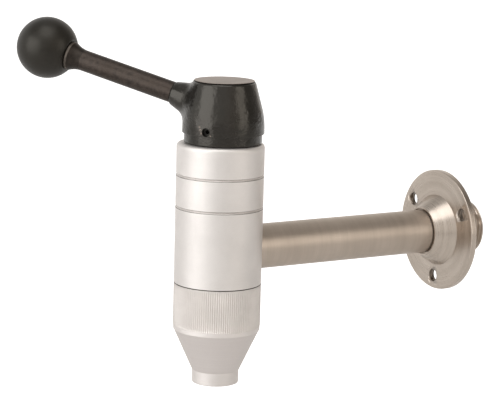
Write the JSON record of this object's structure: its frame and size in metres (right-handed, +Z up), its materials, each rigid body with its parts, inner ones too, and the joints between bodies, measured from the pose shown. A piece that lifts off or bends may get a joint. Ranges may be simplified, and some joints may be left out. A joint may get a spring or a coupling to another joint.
{
  "type": "fluid spigot",
  "caption": "Wall-mounted lever spigot: flanged feed tube with a threaded inlet, upright turned body, knurled screw-off nozzle and a side lever with a ball knob.",
  "frame": {"origin": "centre of the mounting flange's back face, on the axis of the feed tube", "axes": "+Y into the wall along the feed tube, +Z up along the tap's body, +X to the right of a person who faces the wall"},
  "size_m": [0.1152, 0.217, 0.1682],
  "materials": {
    "satin_aluminium": "bead-blasted and clear anodised, satin silver",
    "nozzle_aluminium": "turned and straight-knurled, matte silver grey",
    "turned_stainless": "turned stainless steel with fine concentric tool marks",
    "brushed_tube": "ground stainless tube, warm grey",
    "black_casting": "satin black coated casting, slightly worn",
    "hub_cap_grey": "flat grey-brown machined face",
    "dark_steel": "blackened burnished steel",
    "knob_black": "moulded black phenolic, semi-matt",
    "black_screw": "blackened socket grub screw",
    "inner_steel": "turned stainless steel",
    "spring_wire": "stainless spring wire",
    "bronze": "turned bronze",
    "acetal": "white acetal",
    "seal_rubber": "black nitrile rubber"
  },
  "bodies": {
    "tap_body": {"mounting_flange": "turned_stainless", "inlet_tube": "brushed_tube", "valve_body": "satin_aluminium", "guide_housing": "satin_aluminium", "bonnet": "satin_aluminium", "bearing_bush": "bronze", "thrust_washer": "acetal", "hub_washer": "acetal", "guide_sleeve": "inner_steel", "guide_dowel": "inner_steel", "tube_seal": "seal_rubber", "housing_seal": "seal_rubber", "rod_seal": "seal_rubber", "nozzle_seal": "seal_rubber"},
    "lever": {"spindle": "inner_steel", "stem_seal_lower": "seal_rubber", "stem_seal_upper": "seal_rubber", "lever_hub": "black_casting", "hub_cap": "hub_cap_grey", "hub_screw": "inner_steel", "hub_screw_washer": "inner_steel", "grub_screw": "black_screw", "lever_arm": "dark_steel", "knob_insert": "bronze", "ball_knob": "knob_black"},
    "lift": {"lift_rod": "inner_steel", "cross_pin": "inner_steel", "valve_plug": "bronze", "plug_seal": "seal_rubber", "plug_screw": "inner_steel", "closing_spring": "spring_wire"},
    "outlet": {"strainer": "inner_steel", "outlet_gasket": "seal_rubber"},
    "nozzle": {"nozzle": "nozzle_aluminium"}
  },
  "joints": [
    {"name": "lever_turn", "type": "hinge", "parent": "tap_body", "child": "lever", "pos_m": [0, -0.129, 0.0664], "axis": [0, 0, 1], "range_deg": [0, 90]},
    {"name": "rod_lift", "type": "slide", "parent": "tap_body", "child": "lift", "axis": [0, 0, 1], "range_m": [0, 0.00602], "stiffness_N_per_m": 600, "springref_m": -0.004, "deforming": ["closing_spring"]},
    {"name": "nozzle_travel", "type": "slide", "parent": "tap_body", "child": "outlet", "axis": [0, 0, 1], "range_m": [-0.00602, 0]},
    {"name": "nozzle_turn", "type": "hinge", "parent": "outlet", "child": "nozzle", "pos_m": [0, -0.129, -0.025], "axis": [0, 0, 1], "range_deg": [-1440, 0]}
  ],
  "couplings": [
    {"joint": "rod_lift", "follows": "lever_turn", "m_per_rad": 0.0038197},
    {"joint": "nozzle_travel", "follows": "nozzle_turn", "m_per_rad": 0.00023873}
  ]
}
